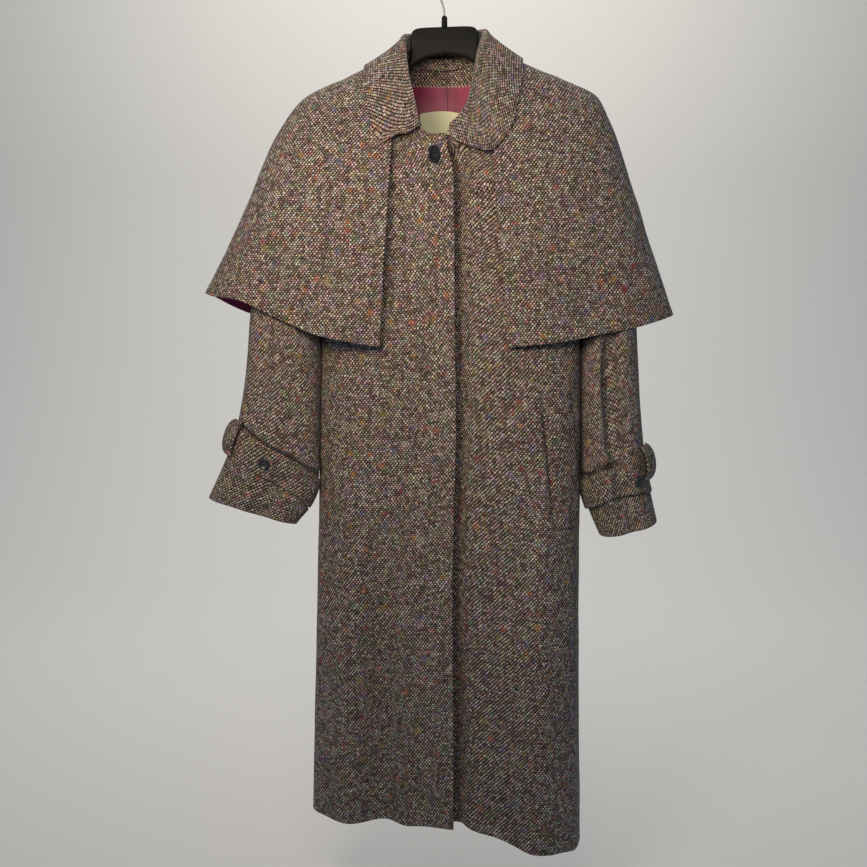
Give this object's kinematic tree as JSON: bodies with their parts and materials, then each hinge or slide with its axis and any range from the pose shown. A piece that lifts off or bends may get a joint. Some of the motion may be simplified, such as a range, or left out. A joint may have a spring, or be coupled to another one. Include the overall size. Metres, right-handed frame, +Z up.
{
  "type": "long tweed cape coat on a plastic coat hanger",
  "caption": "Full-length flecked tweed coat with a shoulder cape, fly front, rounded collar, one welt pocket and strapped cuffs, hanging from a black plastic hanger with a wire hook.",
  "frame": {"origin": "the point on the rail's top where the hanger's hook bears, which is the lowest point of the wire at the top of the hook", "axes": "+Z up, -Y out of the coat's front, +X to the wearer's left"},
  "size_m": [0.734, 0.273, 1.3753],
  "materials": {
    "tweed": "brown flecked wool tweed",
    "tweed_trim": "brown flecked wool tweed",
    "satin_lining": "burgundy satin",
    "label_cloth": "plain woven",
    "button_horn": "polished dark plastic",
    "hanger_plastic": "satin black",
    "hook_steel": "plated wire"
  },
  "bodies": {
    "root": {"back_chest": "tweed", "back_hip": "tweed", "back_skirt": "tweed", "button_cuff_left": "button_horn", "button_cuff_right": "button_horn", "button_neck": "button_horn", "cape_back": "tweed", "cape_left": "tweed", "cape_lining_back": "satin_lining", "cape_lining_left": "satin_lining", "cape_lining_right": "satin_lining", "cape_right": "tweed", "collar": "tweed", "front_left_chest": "tweed", "front_left_hip": "tweed", "front_left_skirt": "tweed", "front_right_chest": "tweed", "front_right_hip": "tweed", "front_right_skirt": "tweed", "hanger_body": "hanger_plastic", "hanger_boss": "hanger_plastic", "hanger_hook": "hook_steel", "hanging_loop": "tweed", "lining_back": "satin_lining", "neck_facing": "tweed", "neck_label": "label_cloth", "pocket_welt_left": "tweed_trim", "sleeve_left": "tweed", "sleeve_right": "tweed", "strap_left": "tweed_trim", "strap_loop_left": "tweed_trim", "strap_loop_right": "tweed_trim", "strap_right": "tweed_trim"}
  },
  "joints": []
}
